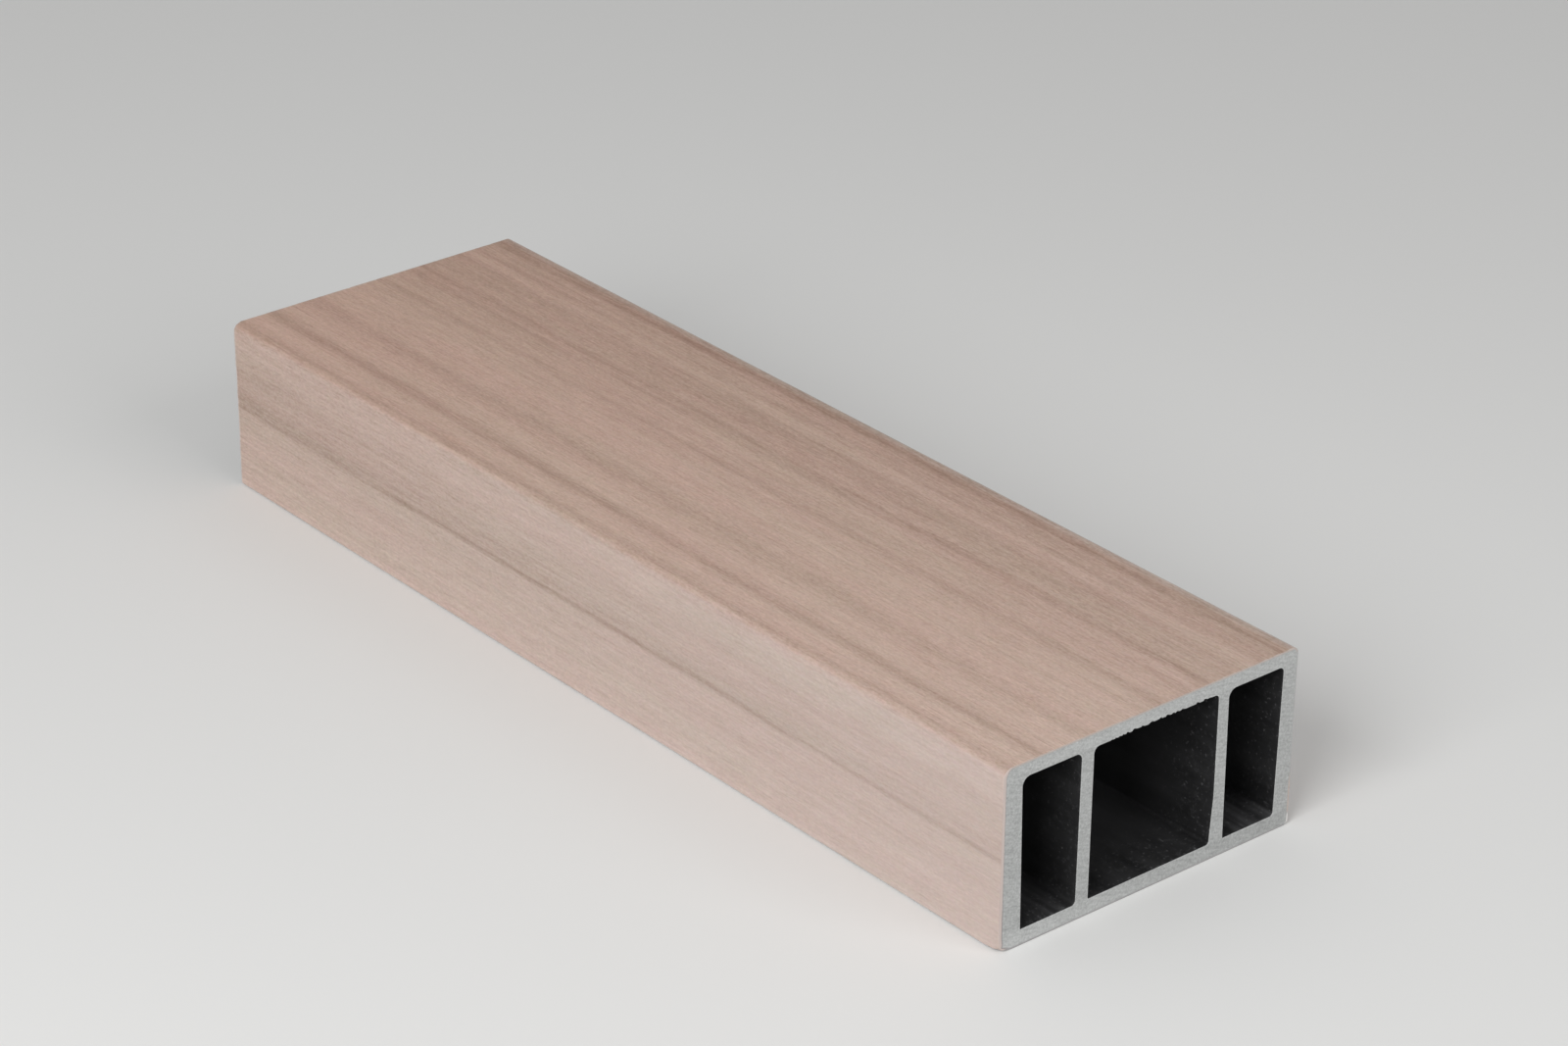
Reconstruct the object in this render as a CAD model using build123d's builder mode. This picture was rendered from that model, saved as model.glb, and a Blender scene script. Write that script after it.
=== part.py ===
from build123d import *
import os

# A cut length of hollow composite beam, lying on its wide face.
# X runs along the beam, Y across its width and Z up, in millimetres.
# The origin is on the base, under the middle of the beam.

# Driving dimensions
length = 332.0
width = 100.0
height = 52.0
roof_thickness = 4.3
floor_thickness = 4.6

# Rounding of the long outer edges: base left, base right, top right, top left
outer_radii = [1.2, 1.5, 1.8, 2.9]

# The four uprights from left to right: a side wall, two webs and the other side wall.
# Each pair says where the left and right faces stand, measured from the beam's left side.
# The faces lean a little, so they stand elsewhere at the chamber floor than at its roof.
uprights_at_floor = [(0.0, 7.1), (25.5, 29.7), (71.4, 76.3), (94.3, width)]
uprights_at_roof = [(0.0, 6.3), (25.9, 29.9), (72.4, 75.9), (95.2, width)]

# Rounding inside each chamber: floor left, floor right, roof right, roof left.
# The floor's left corners are nearly sharp and the roof's corners are full.
chamber_radii = [
    [0.3, 1.2, 2.0, 2.5],
    [0.4, 1.0, 1.4, 1.8],
    [0.3, 1.0, 1.6, 2.5],
]

# The second web swells into a soft foot, on the middle chamber's side only
middle_chamber = 1
foot_height = 14.0
foot_lead_in_radius = 40.0

# Heights of the surfaces inside the chambers
chamber_floor = floor_thickness
chamber_roof = height - roof_thickness


def beam_corners():
    """The beam's own outline, from base left round to top left."""
    return [(0, 0), (width, 0), (width, height), (0, height)]


def chamber_outline(index):
    """Corners and radii of the space between two uprights, from floor left to roof left."""
    left_at_floor = uprights_at_floor[index][1]
    right_at_floor = uprights_at_floor[index + 1][0]
    right_at_roof = uprights_at_roof[index + 1][0]
    left_at_roof = uprights_at_roof[index][1]
    corners = [
        (left_at_floor, chamber_floor),
        (right_at_floor, chamber_floor),
        (right_at_roof, chamber_roof),
        (left_at_roof, chamber_roof),
    ]
    radii = list(chamber_radii[index])
    if index == middle_chamber:
        corners.insert(2, (right_at_roof, chamber_floor + foot_height))
        radii.insert(2, foot_lead_in_radius)
    return corners, radii


# The section stands across the beam's back end and is drawn from its lower left corner
section_plane = Plane(
    origin=(-length / 2, -width / 2, 0),
    x_dir=(0, 1, 0),
    z_dir=(1, 0, 0),
)

with BuildPart() as beam:
    with BuildSketch(section_plane) as section:
        with BuildLine():
            FilletPolyline(*beam_corners(), radius=outer_radii, close=True)
        make_face()
        for index in range(len(chamber_radii)):
            corners, radii = chamber_outline(index)
            with BuildLine():
                FilletPolyline(*corners, radius=radii, close=True)
            make_face(mode=Mode.SUBTRACT)
    extrude(amount=length)

beam.part.label = "beam"

os.makedirs("parts", exist_ok=True)
export_step(beam.part, "parts/beam.step")
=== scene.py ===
import math
import random

import bpy
import numpy as np
from mathutils import Matrix, Vector, geometry, noise


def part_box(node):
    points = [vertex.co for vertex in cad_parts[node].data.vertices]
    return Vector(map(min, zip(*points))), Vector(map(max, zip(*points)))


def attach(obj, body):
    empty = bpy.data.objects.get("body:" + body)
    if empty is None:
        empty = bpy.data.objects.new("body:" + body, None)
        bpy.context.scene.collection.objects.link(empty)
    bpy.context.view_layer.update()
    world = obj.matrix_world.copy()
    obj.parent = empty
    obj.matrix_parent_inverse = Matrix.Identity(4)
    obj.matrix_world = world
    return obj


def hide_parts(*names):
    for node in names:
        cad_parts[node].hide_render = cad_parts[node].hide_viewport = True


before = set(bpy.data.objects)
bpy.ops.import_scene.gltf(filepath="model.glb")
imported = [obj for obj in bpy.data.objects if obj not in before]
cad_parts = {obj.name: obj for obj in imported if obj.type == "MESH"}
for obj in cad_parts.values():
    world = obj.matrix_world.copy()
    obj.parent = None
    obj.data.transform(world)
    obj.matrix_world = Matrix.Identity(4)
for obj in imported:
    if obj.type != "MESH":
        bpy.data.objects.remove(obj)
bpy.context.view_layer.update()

# A cut length of hollow beam with a wood-look skin round a sawn grey core and three dark chambers.
# X runs along the beam, Y across it and Z up. Shapes are worked out in millimetres and made in metres.
MM = 0.001
low_corner, high_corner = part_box("beam")
half_length = (high_corner.x - low_corner.x) / MM / 2
width = (high_corner.y - low_corner.y) / MM
height = (high_corner.z - low_corner.z) / MM
half_width = width / 2

# The section, as the solid has it, measured from the beam's left side
roof_thickness = 4.3
floor_thickness = 4.6
outer_radii = [1.2, 1.5, 1.8, 2.9]
uprights_at_floor = [(0.0, 7.1), (25.5, 29.7), (71.4, 76.3), (94.3, width)]
uprights_at_roof = [(0.0, 6.3), (25.9, 29.9), (72.4, 75.9), (95.2, width)]
chamber_radii = [[0.3, 1.2, 2.0, 2.5], [0.4, 1.0, 1.4, 1.8], [0.3, 1.0, 1.6, 2.5]]
middle_chamber = 1
foot_height = 14.0
foot_lead_in_radius = 40.0
chamber_floor = floor_thickness
chamber_roof = height - roof_thickness

# How finely the mesh is divided, and how the sawn faces' points are scattered
outer_spacing = 0.8
chamber_spacing = 0.42
arc_spacing = 0.33
station_spacing = 3.0
end_stations = [0.5, 1.2, 2.2]
chamber_stations = [0.8, 2.0, 5.0, 15.0, 50.0, 110.0]
cap_spacing = 1.15
cap_scatter = 0.38
ring_clearance = 0.30
rim_clearance = 0.35
same_place = 1e-5
sharp_angle = math.radians(28)

# The edge distance of a place that is nowhere near that edge
far_off = 9.0

# How deep the skin is, also on the left side, and the dark line of the bond under it
skin_thickness = 0.50
left_skin = 0.95
bond_width = 0.30

# Wear of the sawn ends: the front end's lower left tip, which is worn upwards and half as much to
# the right, the outer edges and how far their wear runs along the beam, and the same for the
# chambers' mouths, with the paler rims round them
tip_wear = 0.80
tip_lean = 0.5
sawn_edge = 0.08
rough_edge = 0.30
edge_slope = 1.1
rim_width = 0.45
mouth_inset = 0.02
mouth_slope = 1.5

# The broken roof edge of the middle chamber, and where it starts and ends across the beam
roof_chip = 0.80
chip_start = 38.0
chip_end = 67.0
chip_fade = 3.0

# The jogs of the back end's near edge: their full depth, and each one's height above the base
# with its share of that depth
back_jog = 0.88
jog_fade = 0.7
jogs = [(46.0, 0.10), (38.5, 0.34), (31.0, 0.26), (26.0, 0.38), (15.0, 0.18)]

# Low waves of the saw, hollows of the outer faces and relief of the skin. A sink mark over a
# chamber of the stated width has its full depth.
saw_wave = 0.015
saw_grain = 0.012
sink_mark = 0.10
sink_width = 43.0
right_side_sink = 0.35
left_side_sink = 0.18
skin_wave = 0.02
skin_grain = 0.02

# Light
ambient = 0.35
background_white = 0.85
key_light = ("key", (0.5, -1.2, 0.9), 15.7, 0.9)
fill_light = ("fill", (1.3, 0.2, 0.8), 6.0, 0.9)

# The photograph's camera: where it stands, how it is turned, in degrees, its lens, and its shift
# of half a pixel in the photograph's frame
image_width = 1600
camera_place = (0.86472, -0.70234, 0.60264)
camera_azimuth = -39.854
camera_elevation = 26.922
camera_roll = 0.447
camera_lens = 105.505
camera_shift = (-0.5 / image_width, 0.5 / image_width)

# How far the floor reaches from the beam, in metres
floor_reach = 8.0

# The numbers of the beam's three materials
SKIN, CORE, WALL = range(3)


def section_corners():
    """The beam's own outline, from base left round to top left, as (y, z)."""
    return [(0, 0), (width, 0), (width, height), (0, height)]


def chamber_corners(index):
    """Corners and radii of the space between two uprights, from floor left to roof left."""
    left_at_floor = uprights_at_floor[index][1]
    right_at_floor = uprights_at_floor[index + 1][0]
    right_at_roof = uprights_at_roof[index + 1][0]
    left_at_roof = uprights_at_roof[index][1]
    corners = [
        (left_at_floor, chamber_floor),
        (right_at_floor, chamber_floor),
        (right_at_roof, chamber_roof),
        (left_at_roof, chamber_roof),
    ]
    radii = list(chamber_radii[index])
    if index == middle_chamber:
        corners.insert(2, (right_at_roof, chamber_floor + foot_height))
        radii.insert(2, foot_lead_in_radius)
    return corners, radii


def rounded_loop(corners, radii, spacing):
    """Points and outward normals round a closed outline with rounded corners, anticlockwise."""
    corners = [Vector(corner) for corner in corners]
    points = []
    normals = []
    count = len(corners)
    for index, corner in enumerate(corners):
        before = (corner - corners[index - 1]).normalized()
        after = (corners[(index + 1) % count] - corner).normalized()
        turn = math.acos(max(-1.0, min(1.0, before.dot(after))))
        reach = radii[index] * math.tan(turn / 2)
        outward = Vector((before.y, -before.x))
        centre = corner - before * reach - outward * radii[index]
        steps = max(3, round(radii[index] * turn / arc_spacing))
        start = math.atan2(outward.y, outward.x)
        for step in range(steps + 1):
            angle = start + turn * step / steps
            normal = Vector((math.cos(angle), math.sin(angle)))
            points.append(centre + normal * radii[index])
            normals.append(normal)
        next_corner = corners[(index + 1) % count]
        following = corners[(index + 2) % count]
        onward = (following - next_corner).normalized()
        next_turn = math.acos(max(-1.0, min(1.0, after.dot(onward))))
        run_end = next_corner - after * radii[(index + 1) % count] * math.tan(next_turn / 2)
        run_start = points[-1].copy()
        divisions = max(1, round((run_end - run_start).length / spacing))
        for division in range(1, divisions):
            points.append(run_start.lerp(run_end, division / divisions))
            normals.append(normals[-1].copy())
    return np.array([tuple(p) for p in points]), np.array([tuple(n) for n in normals])


def smooth_noise(*place):
    """Perlin noise from about -1 to 1 at a place given by up to three numbers."""
    return noise.noise(Vector((*place, 0.0, 0.0)[:3]))


def ease(value, start, end):
    """0 before start, 1 after end and a smooth rise between them."""
    share = min(1.0, max(0.0, (value - start) / (end - start)))
    return share * share * (3 - 2 * share)


def skin_relief(x, y, z):
    """How far the outer skin lies below the true outline: sink marks over chambers, and grain."""
    dish = 0.0
    if z > height - 3 or z < 3:
        for index in range(len(chamber_radii)):
            left = uprights_at_roof[index][1]
            right = uprights_at_roof[index + 1][0]
            if left < y < right:
                share = (y - left) / (right - left)
                dish = sink_mark * math.sin(math.pi * share) ** 2 * (right - left) / sink_width
    else:
        side_sink = right_side_sink if y > half_width else left_side_sink
        dish = side_sink * math.sin(math.pi * z / height) ** 2
    wave = skin_wave * (1 + smooth_noise(x / 45, y / 9, z / 9))
    grain = skin_grain * (1 + smooth_noise(x / 14, y / 1.7, z / 1.7))
    return dish + wave + grain


def skin_depth(y, z):
    """How deep the skin is under a point of the outline: it is deepest on the left side."""
    return skin_thickness + (left_skin - skin_thickness) * (1 - ease(y, 0.2, 2.5)) * ease(z, 0.2, 2.2)


def tip_lift(x, y, z):
    """How far the front end's lower left corner is worn away upwards."""
    near = 1 - ease(math.hypot(y, z), 0.5, 5.0)
    return tip_wear * near * ease(x, half_length - 5.0, half_length) ** 2


def front_wear(y, z, along):
    """Depth of the worn outer edge of the front end."""
    wear = sawn_edge * (1 + 0.45 * smooth_noise(along / 1.3, 3.1))
    if z > height - 1:
        wear += rough_edge * 1.1 * max(0.0, smooth_noise(along / 1.2, 5.5) + 0.05)
    if y > width - 3:
        wear += rough_edge * max(0.0, smooth_noise(along / 3.4, 8.2) + 0.15) * ease(z, 8, 20)
    wear += rough_edge * max(0.0, smooth_noise(along / 2.1, 17.7) - 0.42)
    return wear


def back_wear(y, z, along):
    """Depth of the worn outer edge of the back end."""
    wear = sawn_edge * (1.1 + 0.5 * smooth_noise(along / 1.2, 41.3))
    wear += rough_edge * 1.3 * max(0.0, smooth_noise(along / 2.3, 57.9) - 0.35)
    return wear


def front_recess(y, z):
    """How far the front end lies behind a true plane: the low waves that a saw leaves."""
    slant = z + 0.3 * y
    wave = saw_wave * (1 + smooth_noise(slant / 1.6, y / 25, 5.0))
    grain = saw_grain * (1 + smooth_noise(y / 0.9, z / 0.9, 9.0))
    return wave + grain


def back_recess(y, z):
    """The same for the back end, with the ragged jogs of its near upright edge."""
    jog = 0.0
    for start, depth in jogs:
        jog += (depth - jog) * ease(-z, -start, jog_fade - start)
    near = 1 - ease(y, 1.5, 7.0)
    return front_recess(y + 200, z) + back_jog * jog * near


def chamber_chip(index, y, z, along, end):
    """How far a chamber's mouth is broken back at its edge."""
    chip = 0.02 + 0.012 * (1 + smooth_noise(along / 0.9, 11.0 * index, 23.0 * end))
    chip += 0.14 * max(0.0, smooth_noise(along / 1.6, 5.0 + index, 31.0 * end) - 0.35)
    if index == middle_chamber and z > chamber_roof - 1:
        past_start = ease(y, chip_start - chip_fade, chip_start)
        inside = past_start * (1 - ease(y, chip_end, chip_end + chip_fade))
        teeth = ease(smooth_noise(y / 0.85, 2.7, 13.0 * end), -0.10, 0.30)
        broad = max(0.0, smooth_noise(y / 3.3, 6.3, 13.0 * end) + 0.1)
        chip += roof_chip * inside * (0.55 * teeth + 0.45 * broad)
    return chip


def distance_to_loop(points, loop):
    """Shortest distance from each point to a closed outline."""
    run = np.roll(loop, -1, axis=0) - loop
    length_squared = (run ** 2).sum(axis=1)
    offset = points[:, None, :] - loop[None, :, :]
    share = np.clip((offset * run[None]).sum(axis=2) / length_squared, 0, 1)
    gap = offset - share[:, :, None] * run[None]
    return np.sqrt((gap ** 2).sum(axis=2)).min(axis=1)


def inside_loop(points, loop):
    """Whether each point is inside a closed outline."""
    y, z = points[:, 0:1], points[:, 1:2]
    y0, z0 = loop[:, 0], loop[:, 1]
    y1, z1 = np.roll(y0, -1), np.roll(z0, -1)
    spans = (z0 > z) != (z1 > z)
    rise = np.where(z1 == z0, 1.0, z1 - z0)
    crossing = (y1 - y0) * (z - z0) / rise + y0
    return ((spans & (y < crossing)).sum(axis=1) % 2) == 1


def arc_lengths(loop):
    """Distance along a loop from its first point."""
    steps = np.sqrt(((np.roll(loop, -1, axis=0) - loop) ** 2).sum(axis=1))
    return np.concatenate(([0.0], np.cumsum(steps)[:-1]))


class BeamMesh:
    """Collects the beam's vertices and faces, with a material and edge distances for each."""

    def __init__(self):
        self.vertices = []
        self.from_skin = []
        self.from_bond = []
        self.from_rim = []
        self.faces = []
        self.materials = []

    def add_vertices(self, places, from_skin, from_bond, from_rim):
        """Adds (x, y, z) places, measured from the beam's left side, and returns their numbers."""
        first = len(self.vertices)
        self.vertices.extend(places)
        self.from_skin.extend(from_skin)
        self.from_bond.extend(from_bond)
        self.from_rim.extend(from_rim)
        return list(range(first, len(self.vertices)))

    def join_rows(self, row, next_row, material, inward=False):
        """Faces between two rings of equal length, looking out of the solid."""
        count = len(row)
        for index in range(count):
            following = (index + 1) % count
            face = [row[index], row[following], next_row[following], next_row[index]]
            if inward:
                face.reverse()
            self.faces.append(face)
            self.materials.append(material)

    def make_object(self, name, materials):
        """The finished object, in metres in the beam's own frame."""
        places = np.array(self.vertices) * MM
        places[:, 1] += low_corner.y
        places[:, 2] += low_corner.z
        mesh = bpy.data.meshes.new(name)
        mesh.from_pydata([tuple(place) for place in places], [], self.faces)
        for material in materials:
            mesh.materials.append(material)
        mesh.polygons.foreach_set("material_index", self.materials)
        for label in ("from_skin", "from_bond", "from_rim"):
            attribute = mesh.attributes.new(label, "FLOAT", "POINT")
            attribute.data.foreach_set("value", np.array(getattr(self, label), np.float32))
        mesh.polygons.foreach_set("use_smooth", [True] * len(self.faces))
        mesh.set_sharp_from_angle(angle=sharp_angle)
        mesh.update()
        piece = bpy.data.objects.new(name, mesh)
        bpy.context.scene.collection.objects.link(piece)
        return piece


def cap_points(outline, chambers, seed):
    """Scattered points across the sawn face, clear of its edges."""
    dice = random.Random(seed)
    places = []
    rows = int(height / cap_spacing)
    columns = int(width / cap_spacing)
    for row in range(rows):
        for column in range(columns):
            y = (column + 0.5 + cap_scatter * dice.uniform(-1, 1) + 0.5 * (row % 2)) * cap_spacing
            z = (row + 0.5 + cap_scatter * dice.uniform(-1, 1)) * cap_spacing
            places.append((y, z))
    places = np.array(places)
    keep = inside_loop(places, outline)
    keep &= distance_to_loop(places, outline) > left_skin + bond_width + ring_clearance
    for chamber in chambers:
        keep &= ~inside_loop(places, chamber)
        keep &= distance_to_loop(places, chamber) > rim_width + rim_clearance
    return places[keep]


def sawn_cap(mesh, end, outline, normals, wear, chambers, chamber_normals, chips, recess):
    """One sawn end, made of rings along its edges and scattered points between them.
    Returns the vertex numbers of its outer ring and of each chamber's ring."""
    depth = np.array([skin_depth(y, z) for y, z in outline])
    rings = [
        outline - normals * wear[:, None],
        outline - normals * depth[:, None],
        outline - normals * (depth[:, None] + bond_width),
    ]
    first_mouth = len(rings)
    for chamber, normal, chip in zip(chambers, chamber_normals, chips):
        rings.append(chamber + normal * chip[:, None])
        rings.append(chamber + normal * (chip[:, None] + rim_width))
    mouths = range(first_mouth, len(rings), 2)
    scattered = cap_points(outline, chambers, 11 + end)
    coordinates = []
    edges = []
    starts = []
    for ring in rings:
        first = len(coordinates)
        starts.append(first)
        coordinates.extend(Vector(point) for point in ring)
        count = len(ring)
        edges.extend((first + i, first + (i + 1) % count) for i in range(count))
    coordinates.extend(Vector(point) for point in scattered)
    found, _, triangles, origins, _, _ = geometry.delaunay_2d_cdt(
        coordinates, edges, [], 0, same_place)
    flat = np.array([tuple(point) for point in found])
    number = {}
    for index, sources in enumerate(origins):
        for source in sources:
            number[source] = index
    triangles = np.array(triangles)
    centres = flat[triangles].mean(axis=1)
    keep = inside_loop(centres, rings[0])
    for mouth in mouths:
        keep &= ~inside_loop(centres, rings[mouth])
    from_skin = distance_to_loop(flat, outline)
    from_bond = distance_to_loop(flat, rings[1])
    from_rim = np.min([distance_to_loop(flat, rings[mouth]) for mouth in mouths], axis=0)
    side = 1 if end else -1
    places = []
    for y, z in flat:
        lift = tip_lift(side * half_length, y, z)
        places.append((side * (half_length - recess(y, z)), y + tip_lean * lift, z + lift))
    ids = mesh.add_vertices(places, from_skin, from_bond, from_rim)
    on_edge = {number[starts[0] + i] for i in range(len(outline))}
    for triangle, kept in zip(triangles, keep):
        if kept:
            face = [ids[corner] for corner in triangle]
            if not end:
                face.reverse()
            mesh.faces.append(face)
            mesh.materials.append(CORE if on_edge.isdisjoint(triangle.tolist()) else SKIN)
    outer_ring = [ids[number[starts[0] + i]] for i in range(len(outline))]
    chamber_rings = [
        [ids[number[starts[mouth] + i]] for i in range(len(rings[mouth]))]
        for mouth in mouths
    ]
    return outer_ring, chamber_rings


def build_beam():
    """The whole beam: two sawn ends, the skin between them and three chambers through it."""
    mesh = BeamMesh()
    outline, normals = rounded_loop(section_corners(), outer_radii, outer_spacing)
    around = arc_lengths(outline)
    indices = range(len(chamber_radii))
    loops = [rounded_loop(*chamber_corners(index), chamber_spacing) for index in indices]
    chambers = [loop[0] for loop in loops]
    chamber_normals = [loop[1] for loop in loops]
    wear_of = (back_wear, front_wear)
    recess_of = (back_recess, front_recess)
    wear, chips, rings = [], [], []
    for end in (0, 1):
        wear.append(np.array([wear_of[end](y, z, s) for (y, z), s in zip(outline, around)]))
        chips.append([
            np.array([
                chamber_chip(index, y, z, along, end)
                for (y, z), along in zip(chamber, arc_lengths(chamber))
            ])
            for index, chamber in enumerate(chambers)
        ])
        rings.append(sawn_cap(
            mesh, end, outline, normals, wear[end],
            chambers, chamber_normals, chips[end], recess_of[end],
        ))
    add_skin(mesh, outline, normals, wear, rings, recess_of)
    for index, (chamber, normal) in enumerate(loops):
        chip = [chips[end][index] for end in (0, 1)]
        ends = [rings[end][1][index] for end in (0, 1)]
        add_chamber(mesh, chamber, chip, ends, recess_of)
    return mesh


def add_skin(mesh, outline, normals, wear, rings, recess_of):
    """The outer skin, in rings along the beam, joined to both sawn ends."""
    inner = half_length - end_stations[-1]
    bays = round(2 * inner / station_spacing)
    stations = [-half_length + step for step in end_stations[:-1]]
    stations += [-inner + 2 * inner * bay / bays for bay in range(bays + 1)]
    stations += [half_length - step for step in reversed(end_stations[:-1])]
    rows = [rings[0][0]]
    edge_x = [
        [
            side * (half_length - recess_of[end](y, z) - edge_slope * edge_amount)
            for (y, z), edge_amount in zip(outline, wear[end])
        ]
        for end, side in ((0, -1), (1, 1))
    ]
    for x_places in [edge_x[0], *[[x] * len(outline) for x in stations], edge_x[1]]:
        places = []
        for x, (y, z), (normal_y, normal_z) in zip(x_places, outline, normals):
            sunk = skin_relief(x, y, z)
            lift = tip_lift(x, y, z)
            places.append((x, y - normal_y * sunk + tip_lean * lift, z - normal_z * sunk + lift))
        far = [far_off] * len(places)
        rows.append(mesh.add_vertices(places, [0.0] * len(places), far, far))
    rows.append(rings[1][0])
    for row, next_row in zip(rows, rows[1:]):
        mesh.join_rows(row, next_row, SKIN)


def add_chamber(mesh, chamber, chip, ends, recess_of):
    """One chamber's walls, joined to its mouth at both sawn ends."""
    count = len(chamber)
    mouth_x = [
        [
            side * (half_length - recess_of[end](y, z) - mouth_inset - mouth_slope * broken)
            for (y, z), broken in zip(chamber, chip[end])
        ]
        for end, side in ((0, -1), (1, 1))
    ]
    inner = [-half_length + step for step in chamber_stations]
    inner += [half_length - step for step in reversed(chamber_stations)]
    rows = [ends[0]]
    far = [far_off] * count
    for x_places in [mouth_x[0], *[[x] * count for x in inner], mouth_x[1]]:
        places = [(x, y, z) for x, (y, z) in zip(x_places, chamber)]
        rows.append(mesh.add_vertices(places, far, far, [0.0] * count))
    rows.append(ends[1])
    last = len(rows) - 2
    for index, (row, next_row) in enumerate(zip(rows, rows[1:])):
        material = CORE if index in (0, last) else WALL
        mesh.join_rows(row, next_row, material, inward=True)


class Shader:
    """One material's nodes. A value is a number, a tuple or another node's output."""

    def __init__(self, name):
        self.material = bpy.data.materials.new(name)
        self.material.use_nodes = True
        self.tree = self.material.node_tree
        self.surface = self.tree.nodes["Principled BSDF"]

    def add(self, kind, inputs, output=0, **settings):
        """A new node with its settings and inputs. Returns one of its outputs."""
        node = self.tree.nodes.new("ShaderNode" + kind)
        for name, value in settings.items():
            setattr(node, name, value)
        for key, value in inputs.items():
            self.connect(value, node.inputs[key])
        return node.outputs[output]

    def connect(self, value, socket):
        if isinstance(value, bpy.types.NodeSocket):
            self.tree.links.new(value, socket)
        else:
            socket.default_value = value

    def set(self, **inputs):
        """Values of the surface itself, by socket name with _ for a space."""
        for name, value in inputs.items():
            self.connect(value, self.surface.inputs[name.replace("_", " ")])

    def math(self, operation, *values):
        return self.add("Math", dict(enumerate(values)), operation=operation)

    def total(self, values):
        """The sum of several values."""
        result = values[0]
        for value in values[1:]:
            result = self.math("ADD", result, value)
        return result

    def change(self, kind, value, start, end, low, high):
        inputs = {"Value": value, "From Min": start, "From Max": end, "To Min": low, "To Max": high}
        return self.add("MapRange", inputs, interpolation_type=kind)

    def step(self, value, start, end, low=0.0, high=1.0):
        """A smooth change from low to high as a value goes from start to end."""
        return self.change("SMOOTHSTEP", value, start, end, low, high)

    def linear(self, value, start, end, low, high):
        """A straight change from low to high as a value goes from start to end."""
        return self.change("LINEAR", value, start, end, low, high)

    def noise(self, place, grain, seed, detail=2.0, roughness=0.5, output=0):
        """Noise from about 0 to 1 with grains of the given size along each axis, in millimetres."""
        scale = tuple(1 / size for size in grain)
        offset = (seed, 1.7 * seed, 2.3 * seed)
        stretched = self.add("VectorMath", {0: place, 1: scale, 2: offset}, operation="MULTIPLY_ADD")
        inputs = {"Vector": stretched, "Scale": 1.0, "Detail": detail, "Roughness": roughness}
        return self.add("TexNoise", inputs, output)

    def mix(self, factor, first, second):
        """A colour between two."""
        node = self.tree.nodes.new("ShaderNodeMix")
        node.data_type = "RGBA"
        self.connect(factor, node.inputs[0])
        self.connect(first, node.inputs[6])
        self.connect(second, node.inputs[7])
        return node.outputs[2]

    def tint(self, colour, tint):
        """A colour multiplied by another."""
        return self.add("VectorMath", {0: colour, 1: tint}, operation="MULTIPLY")

    def shade(self, colour, amount):
        """A colour multiplied by a number."""
        return self.add("VectorMath", {0: colour, "Scale": amount}, operation="SCALE")

    def fleck(self, place, grain, seed, amount):
        """A tint whose three parts each wander a little about 1."""
        colours = self.noise(place, grain, seed, output=1)
        inputs = {0: colours, 1: (amount,) * 3, 2: (1 - amount / 2,) * 3}
        return self.add("VectorMath", inputs, operation="MULTIPLY_ADD")

    def place(self):
        """Position on the piece in millimetres, and its three parts."""
        place = self.shade(self.add("TexCoord", {}, output=3), 1 / MM)
        parts = self.tree.nodes.new("ShaderNodeSeparateXYZ")
        self.tree.links.new(place, parts.inputs[0])
        return place, parts.outputs[0], parts.outputs[1], parts.outputs[2]


# Streaks of the wood print that run along the beam, and on the side a few streaks of painted
# light and shade, as marked. Each has its place round the skin in millimetres from the middle
# of the top, at the back end and at the front end, half its width, and how dark it is at the
# back end, in the middle and at the front end. Below zero it is lighter than the skin round it.
top_streaks = [
    (47.9, 47.9, 0.8, 0.15, 0.20, 0.22),
    (45.3, 44.8, 1.5, 0.26, 0.34, 0.29),
    (42.2, 42.3, 1.3, 0.06, 0.10, 0.11),
    (39.5, 39.8, 1.5, 0.03, 0.08, 0.11),
    (36.8, 37.4, 1.2, 0.06, 0.09, 0.12),
    (33.4, 33.7, 1.6, -0.07, -0.03, -0.03),
    (29.9, 30.1, 2.0, 0.08, 0.12, 0.10),
    (27.0, 27.2, 1.5, -0.01, 0.05, 0.03),
    (24.2, 24.6, 2.4, 0.04, 0.08, 0.08),
    (17.0, 19.0, 1.5, 0.11, 0.15, 0.14),
    (12.0, 18.0, 1.2, 0.10, 0.10, 0.07),
    (10.8, 11.8, 1.6, 0.04, -0.06, 0.07),
    (7.2, 6.4, 2.0, -0.03, -0.01, 0.00),
    (2.8, 2.7, 1.0, 0.06, 0.09, 0.11),
    (-1.3, -1.6, 1.2, -0.04, -0.03, -0.07),
    (-5.5, -5.5, 3.0, -0.05, -0.07, -0.05),
    (-12.7, -12.4, 4.5, -0.11, -0.08, -0.09),
    (-18.6, -18.6, 2.0, -0.05, -0.04, -0.06),
    (-22.0, -23.6, 1.8, 0.07, 0.05, 0.01),
    (-26.8, -26.8, 2.5, -0.05, -0.04, -0.06),
    (-31.8, -31.6, 3.2, -0.13, -0.12, -0.11),
    (-35.8, -36.2, 1.2, 0.10, 0.04, 0.02),
    (-37.6, -37.8, 1.2, 0.12, 0.12, 0.14),
    (-42.7, -42.4, 3.4, -0.16, -0.13, -0.13),
    (-47.7, -47.4, 1.2, 0.02, 0.06, 0.03),
]
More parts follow.
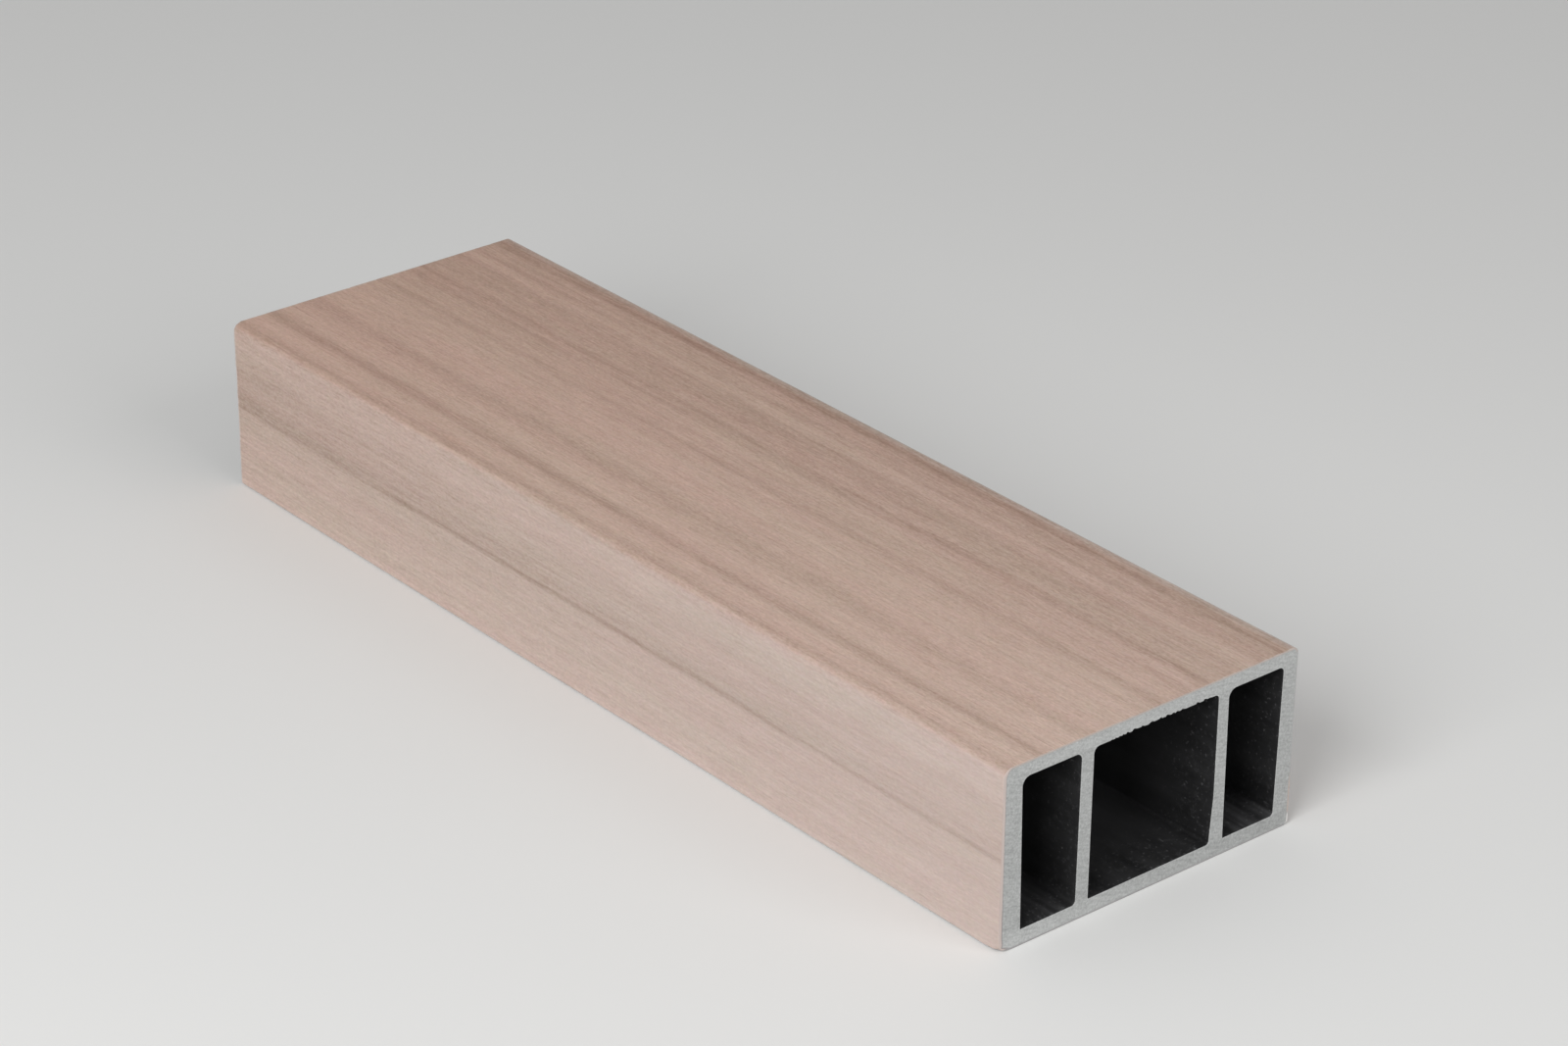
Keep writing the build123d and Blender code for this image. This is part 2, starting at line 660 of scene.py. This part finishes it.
side_streaks = [
    (-75.5, -75.4, 0.8, 0.15, 0.16, 0.14),
    (-73.0, -73.0, 2.6, 0.12, 0.09, 0.05),
    (-67.5, -67.0, 4.5, 0.05, 0.04, 0.03),
    (-64.4, -62.0, 1.6, 0.07, 0.02, 0.02),
    # Painted shade: this streak darkens the upper part of the near top rounding.
    (-51.2, -51.2, 0.9, 0.07, 0.07, 0.02),
    (-56.0, -55.5, 2.5, -0.03, -0.03, -0.02),
    (-84.5, -85.0, 1.0, 0.02, 0.02, 0.01),
    (-90.5, -90.0, 5.0, -0.02, -0.02, -0.02),
    (-88.0, -88.0, 8.0, -0.04, -0.02, 0.00),
    # Painted light: this streak and the next lighten the side low down and along the base, against the
    # shade near the floor.
    (-99.5, -99.5, 6.5, -0.10, -0.06, -0.05),
    (-101.3, -101.3, 1.2, -0.14, -0.12, -0.10),
]
hidden_streaks = [
    (56.5, 57.5, 1.6, 0.05, 0.08, 0.04),
    (64.0, 63.0, 5.0, -0.03, -0.04, -0.02),
    (71.5, 72.5, 1.1, 0.10, 0.07, 0.11),
    (77.0, 77.0, 5.5, 0.04, 0.06, 0.05),
    (88.5, 87.0, 1.0, 0.03, 0.09, 0.06),
    (95.0, 95.0, 4.0, -0.03, -0.03, -0.05),
    (110.0, 112.0, 5.0, 0.06, 0.05, 0.07),
    (117.0, 116.5, 1.2, 0.10, 0.11, 0.05),
    (129.0, 129.0, 6.0, -0.04, -0.03, -0.02),
    (141.0, 143.0, 1.3, 0.05, 0.10, 0.09),
    (-108.0, -109.0, 4.0, 0.05, 0.07, 0.04),
    (-119.0, -118.0, 1.2, 0.08, 0.05, 0.10),
    (-133.0, -133.0, 5.5, -0.03, -0.05, -0.03),
    (-144.5, -146.0, 1.5, 0.06, 0.08, 0.04),
]


def distance_round(shader, y, z):
    """How far round the skin a place is from the middle of the top, the same to either side."""
    across = shader.math("ABSOLUTE", y)
    side_or_top = shader.math("SUBTRACT", shader.math("ADD", across, height), z)
    under = shader.math("SUBTRACT", 2 * half_width + height, across)
    nearer_base = shader.math("GREATER_THAN", shader.math("SUBTRACT", half_width, across), z)
    gap = shader.math("SUBTRACT", under, side_or_top)
    return shader.math("ADD", side_or_top, shader.math("MULTIPLY", gap, nearer_base))


def streak_darkness(shader, x, around):
    """How dark all the streaks together make a place."""
    darkness = []
    for at_back, at_front, half, back, middle, front in top_streaks + side_streaks + hidden_streaks:
        centre = shader.linear(x, -half_length, half_length, at_back, at_front)
        off = shader.math("ABSOLUTE", shader.math("SUBTRACT", around, centre))
        shape = shader.step(off, 2 * half, 0.0)
        to_middle = shader.step(x, -half_length, 0, back, middle)
        to_front = shader.step(x, 0, half_length, 0, front - middle)
        darkness.append(shader.math("MULTIPLY", shape, shader.math("ADD", to_middle, to_front)))
    return shader.total(darkness)


def pale_edges_painted_light(shader, x, y, z, distance):
    """Where the skin is tinted paler and bluer: along the base a painted light against the shade of
    its downward rounding, along the far top edge a painted highlight, and at the back end a pale rim.
    """
    # Painted light along the base, against the shade of its downward rounding.
    base_painted_light = shader.step(z, 0.9, 0.3)
    # Painted highlight along the far top edge.
    near_edge = shader.step(distance, 45.8, 47.6, 0.0, 0.5)
    on_edge = shader.step(distance, 48.1, 48.8, 0.0, 0.5)
    before_side = shader.step(distance, 51.5, 50.5)
    far_edge_highlight = shader.math("MULTIPLY", shader.math("ADD", near_edge, on_edge), before_side)
    far_edge_highlight = shader.math("MULTIPLY", far_edge_highlight, shader.math("GREATER_THAN", y, 0.0))
    at_back = shader.step(x, -half_length + 1.0, -half_length + 0.4, 0.0, 0.5)
    return shader.math("MAXIMUM", base_painted_light, shader.math("MAXIMUM", far_edge_highlight, at_back))


def sawn_strip(shader, y, z):
    """The skin's own cut edge: pale on the left side, pinkish on top and grey below and right."""
    on_right = shader.step(y, half_width - 1.6, half_width - 0.8)
    pinkish = shader.math("MULTIPLY", shader.step(z, 16, 12), shader.step(z, 3.2, 4.2))
    burr = shader.math("MULTIPLY", shader.step(z, 3.8, 2.8), shader.step(z, 0.3, 1.2))
    right = shader.mix(pinkish, (0.405, 0.41, 0.405, 1), (0.50, 0.41, 0.365, 1))
    right = shader.mix(burr, right, (0.76, 0.74, 0.72, 1))
    colour = shader.mix(on_right, (0.350, 0.343, 0.343, 1), right)
    colour = shader.mix(shader.step(z, height - 2.0, height - 0.9), colour, (0.47, 0.41, 0.375, 1))
    on_left = shader.step(y, -half_width + 3.0, -half_width + 1.5)
    return shader.mix(on_left, colour, (0.57, 0.48, 0.445, 1))


def skin_material():
    """The wood-look skin: long streaks, fibres and short dark pores in a pale pinkish brown."""
    shader = Shader("wood_look_skin")
    place, x, y, z = shader.place()
    distance = distance_round(shader, y, z)
    around = shader.math("MULTIPLY", distance, shader.math("SIGN", y))
    wander = shader.linear(shader.noise(place, (80, 16, 16), 3.0, detail=1.0), 0, 1, -0.7, 0.7)
    around = shader.math("ADD", around, wander)
    fibre = shader.noise(place, (16, 0.7, 0.7), 8.0)
    fibrous = shader.linear(fibre, 0.25, 0.75, 0.62, 1.38)
    streaked = shader.math("MULTIPLY", streak_darkness(shader, x, around), fibrous)

    dots = shader.linear(
        shader.noise(place, (1.2, 0.5, 0.5), 11.0, detail=1.0), 0.2, 0.8, 0.13, -0.13)
    speckle = shader.linear(
        shader.noise(place, (2.6, 0.8, 0.8), 9.0, detail=3.0, roughness=0.65), 0.2, 0.8, 0.10, -0.10)
    fine = shader.linear(shader.noise(place, (6.5, 0.6, 0.6), 1.0), 0.2, 0.8, 0.10, -0.10)
    ticks = shader.linear(shader.noise(place, (18, 1.0, 1.0), 10.0), 0.2, 0.8, 0.07, -0.07)
    lines = shader.linear(shader.noise(place, (60, 1.6, 1.6), 2.0), 0.2, 0.8, 0.06, -0.06)
    broad = shader.linear(shader.noise(place, (220, 8, 8), 4.0), 0.2, 0.8, 0.03, -0.03)
    mottle = shader.linear(shader.noise(place, (26, 5, 5), 6.0), 0.2, 0.8, 0.03, -0.03)
    pores = shader.step(shader.noise(place, (5.5, 0.5, 0.5), 5.0, detail=0.0), 0.66, 0.80, 0.0, 0.08)
    hairs = shader.step(
        shader.noise(place, (26, 0.45, 0.45), 13.0, detail=1.0), 0.62, 0.78, 0.0, 0.11)
    upright = shader.step(z, height - 0.2, height - 2.0)
    calm = shader.math(
        "MULTIPLY", upright, shader.linear(x, -half_length, half_length, 0.0, 0.50))
    grain = shader.total([dots, speckle, fine, ticks, lines, broad, mottle, pores, hairs])
    grain = shader.math("MULTIPLY", grain, shader.math("SUBTRACT", 1.0, calm))
    dark = shader.math("ADD", streaked, grain)
    tone = shader.linear(dark, 0.45, -0.35, 0.0, 1.0)
    colour = shader.mix(tone, (0.310, 0.201, 0.150, 1.0), (0.697, 0.528, 0.447, 1.0))
    patch = shader.step(shader.noise(place, (90, 9, 9), 7.0), 0.35, 0.65)
    drift = shader.mix(patch, (0.988, 1.006, 0.997, 1), (1.012, 0.994, 1.003, 1))
    colour = shader.tint(colour, drift)
    colour = shader.tint(colour, shader.fleck(place, (2.4, 0.8, 0.8), 12.0, 0.10))
    colour = shader.tint(colour, shader.fleck(place, (8, 2.2, 2.2), 14.0, 0.035))
    # Painted shade: top and side are tinted darker and warmer towards the back end, where the light
    # falls off. Painted sheen: the side is tinted paler and bluer than the top, most at the front.
    towards_front = shader.linear(x, -half_length, half_length, 0.0, 1.0)
    top_painted_falloff = shader.mix(towards_front, (0.885, 0.806, 0.762, 1), (0.97, 0.965, 0.960, 1))
    side_painted_sheen_and_falloff = shader.mix(towards_front, (0.935, 0.965, 0.985, 1), (0.980, 1.085, 1.175, 1))
    colour = shader.tint(colour, shader.mix(upright, top_painted_falloff, side_painted_sheen_and_falloff))
    from_left = shader.math("ADD", y, half_width)
    # Painted shade: a band 0.6 to 3.6 mm in from the left side, over the near roundings, is tinted
    # darker.
    corner_painted_shade = shader.math(
        "MULTIPLY", shader.step(from_left, 3.6, 1.8), shader.step(from_left, 0.6, 1.3))
    colour = shader.mix(corner_painted_shade, colour, shader.tint(colour, (0.90, 0.93, 0.93)))
    # Painted light and a painted highlight: the base and the far top edge are tinted paler and bluer,
    # and the back end's rim the same.
    edge_amount = pale_edges_painted_light(shader, x, y, z, distance)
    colour = shader.mix(edge_amount, colour, shader.tint(colour, (1.02, 1.22, 1.34)))
    from_skin = shader.add("Attribute", {}, output=2, attribute_name="from_skin")
    colour = shader.mix(shader.step(from_skin, 0.01, 0.06), colour, sawn_strip(shader, y, z))

    emboss = shader.total([
        shader.math("MULTIPLY", fine, -5.0),
        shader.math("MULTIPLY", speckle, -5.0),
        shader.math("MULTIPLY", pores, -9.0),
        shader.math("MULTIPLY", lines, -4.0),
    ])
    bump = shader.add("Bump", {"Strength": 0.55, "Distance": 0.00005, "Height": emboss})
    rough = shader.linear(fibre, 0.2, 0.8, 0.55, 0.66)
    shader.set(Base_Color=colour, Roughness=rough, IOR=1.45, Normal=bump)
    return shader.material


def core_material():
    """The sawn grey core: a cool grey with fine specks, slanting saw marks, paler rims and a dark
    line under the skin."""
    shader = Shader("sawn_core")
    place, _, y, z = shader.place()
    turn = {"Vector": place, "Axis": (1, 0, 0), "Angle": math.radians(17)}
    turned = shader.add("VectorRotate", turn, rotation_type="AXIS_ANGLE")
    from_bond = shader.add("Attribute", {}, output=2, attribute_name="from_bond")
    from_rim = shader.add("Attribute", {}, output=2, attribute_name="from_rim")
    specks = shader.noise(place, (0.70, 0.70, 0.70), 1.0, detail=3.0, roughness=0.75)
    fibres = shader.noise(turned, (2.5, 2.5, 0.5), 4.0, detail=2.0, roughness=0.6)
    saw = shader.noise(turned, (9, 9, 0.7), 2.0, detail=1.5)
    cloud = shader.noise(place, (7, 7, 7), 3.0)
    light = shader.total([
        shader.linear(specks, 0.25, 0.75, 0.72, 1.28),
        shader.linear(fibres, 0.25, 0.75, -0.12, 0.12),
        shader.linear(saw, 0.25, 0.75, -0.07, 0.07),
        shader.linear(cloud, 0.25, 0.75, -0.03, 0.03),
        shader.step(from_rim, 0.42, 0.05, 0.0, 0.13),
        shader.step(z, chamber_roof - 0.5, chamber_roof + 1.0, 0.0, 0.085),
        shader.step(z, chamber_roof + 2.0, height, 0.0, -0.05),
        shader.step(z, 3.0, 2.0, 0.0, 0.03),
        shader.math(
            "MULTIPLY",
            shader.step(z, chamber_floor + 0.8, chamber_floor - 0.5),
            shader.linear(y, -half_width, half_width, 0.145, -0.105),
        ),
    ])
    bond_line = shader.step(from_bond, bond_width + 0.06, 0.12)
    near_side = shader.step(y, -half_width + 4.0, -half_width + 2.0, 0.12, 1.0)
    near_base = shader.step(z, 17, 9, 0.5, 0.95)
    strength = shader.math("MULTIPLY", bond_line, shader.math("MULTIPLY", near_side, near_base))
    colour = shader.shade((0.403, 0.410, 0.405), light)
    colour = shader.mix(strength, colour, (0.27, 0.235, 0.235, 1.0))
    height_map = shader.total([
        shader.math("MULTIPLY", specks, 0.6),
        shader.math("MULTIPLY", saw, 0.8),
    ])
    bump = shader.add("Bump", {"Strength": 0.5, "Distance": 0.00006, "Height": height_map})
    shader.set(Base_Color=colour, Roughness=0.75, IOR=1.45, Normal=bump)
    return shader.material


def wall_material():
    """The chambers' own surface: near black, slightly shiny, with drawn lines and pale dust, and
    painted light and shade low down and on the floors near the mouth.
    """
    shader = Shader("chamber_wall")
    place, x, y, z = shader.place()
    drawn = shader.noise(place, (120, 1.8, 1.8), 1.0)
    smoke = shader.noise(place, (18, 7, 7), 2.0, detail=3.0)
    dust = shader.noise(place, (1.1, 1.1, 1.1), 3.0, detail=1.0)
    near_mouth = shader.step(x, half_length - 60, half_length - 5)
    outer_chamber = shader.step(shader.math("ABSOLUTE", y), 22, 24, 0.12, 1.0)
    # Painted light: pale streaks on the chamber floors near the mouth, strongest in the outer
    # chambers.
    at_floor = shader.step(z, chamber_floor + 1.5, chamber_floor + 0.3)
    on_floor = shader.math("MULTIPLY", near_mouth, at_floor)
    floor_streaks = shader.step(shader.noise(place, (60, 4, 4), 6.0), 0.42, 0.64, 0.05, 1.25)
    floor_painted_light = shader.math("MULTIPLY", on_floor, shader.math("MULTIPLY", floor_streaks, outer_chamber))
    # Painted shade and light: low down, the walls are darker near the mouth and lighter further in.
    low_down = shader.step(z, 38, 8)
    deeper_in = shader.linear(x, half_length - 8, half_length - 36, -0.20, 0.70)
    dusty = shader.noise(place, (1.4, 1.4, 1.4), 7.0, detail=3.0, roughness=0.7)
    specks = shader.step(shader.noise(place, (0.8, 0.8, 0.8), 5.0, detail=0.0), 0.72, 0.80, 0.0, 2.2)
    at_mouth = shader.step(x, half_length - 26, half_length - 3)
    light = shader.total([
        shader.linear(drawn, 0.25, 0.75, 0.68, 0.92),
        shader.linear(smoke, 0.35, 0.72, -0.12, 0.22),
        shader.step(dust, 0.68, 0.80, 0.0, 0.6),
        shader.math("MULTIPLY", shader.step(dusty, 0.53, 0.74, 0.0, 1.1), at_mouth),
        shader.math("MULTIPLY", specks, at_mouth),
        shader.math("MULTIPLY", low_down, deeper_in),
        floor_painted_light,
    ])
    colour = shader.shade((0.028, 0.028, 0.029), light)
    rough = shader.linear(smoke, 0.25, 0.75, 0.40, 0.58)
    bump = shader.add("Bump", {"Strength": 0.35, "Distance": 0.00008, "Height": drawn})
    shader.set(Base_Color=colour, Roughness=rough, IOR=1.45, Normal=bump)
    return shader.material


def floor_material():
    """A plain pale floor."""
    shader = Shader("pale_floor")
    shader.set(Base_Color=(0.80, 0.80, 0.79, 1.0), Roughness=0.9)
    return shader.material


def make_floor():
    """A level floor under the beam, wide enough for every view."""
    mesh = bpy.data.meshes.new("floor")
    signs = ((-1, -1), (1, -1), (1, 1), (-1, 1))
    corners = [(x * floor_reach, y * floor_reach, 0) for x, y in signs]
    mesh.from_pydata(corners, [], [(0, 1, 2, 3)])
    mesh.materials.append(floor_material())
    floor = bpy.data.objects.new("floor", mesh)
    bpy.context.scene.collection.objects.link(floor)


def make_light(name, place, power, size):
    """A square soft light that looks at the middle of the beam."""
    lamp = bpy.data.lights.new(name, "AREA")
    lamp.energy = power
    lamp.size = size
    light = bpy.data.objects.new(name, lamp)
    light.location = place
    target = Vector((0, 0, height / 2 * MM))
    light.rotation_euler = (target - Vector(place)).to_track_quat("-Z", "Y").to_euler()
    bpy.context.scene.collection.objects.link(light)


def make_world():
    """Even soft light from all round, behind which the background is pale."""
    world = bpy.data.worlds.new("studio")
    world.use_nodes = True
    tree = world.node_tree
    background = tree.nodes["Background"]
    paths = tree.nodes.new("ShaderNodeLightPath")
    seen = paths.outputs["Is Camera Ray"]
    for ray in ("Is Glossy Ray", "Is Transmission Ray"):
        either = tree.nodes.new("ShaderNodeMath")
        either.operation = "MAXIMUM"
        tree.links.new(seen, either.inputs[0])
        tree.links.new(paths.outputs[ray], either.inputs[1])
        seen = either.outputs[0]
    strength = tree.nodes.new("ShaderNodeMapRange")
    strength.inputs["To Min"].default_value = ambient
    strength.inputs["To Max"].default_value = background_white
    tree.links.new(seen, strength.inputs["Value"])
    tree.links.new(strength.outputs[0], background.inputs["Strength"])
    background.inputs["Color"].default_value = (1.0, 1.0, 1.0, 1.0)
    bpy.context.scene.world = world


def make_camera():
    """The camera of the photograph."""
    azimuth = math.radians(camera_azimuth)
    elevation = math.radians(camera_elevation)
    roll = math.radians(camera_roll)
    back = Vector((
        math.cos(azimuth) * math.cos(elevation),
        math.sin(azimuth) * math.cos(elevation),
        math.sin(elevation),
    ))
    level = Vector((-math.sin(azimuth), math.cos(azimuth), 0))
    upright = back.cross(level)
    right = level * math.cos(roll) + upright * math.sin(roll)
    up = upright * math.cos(roll) - level * math.sin(roll)
    camera = bpy.data.objects.new("camera", bpy.data.cameras.new("camera"))
    camera.data.lens = camera_lens
    camera.data.shift_x, camera.data.shift_y = camera_shift
    camera.matrix_world = Matrix.Translation(camera_place) @ Matrix(
        (right, up, back)).transposed().to_4x4()
    bpy.context.scene.collection.objects.link(camera)
    bpy.context.scene.camera = camera


bpy.context.scene.view_settings.view_transform = "Standard"
make_camera()
make_world()
make_floor()
make_light(*key_light)
make_light(*fill_light)

body = build_beam().make_object("beam_body", [skin_material(), core_material(), wall_material()])
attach(body, "root")
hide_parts("beam")
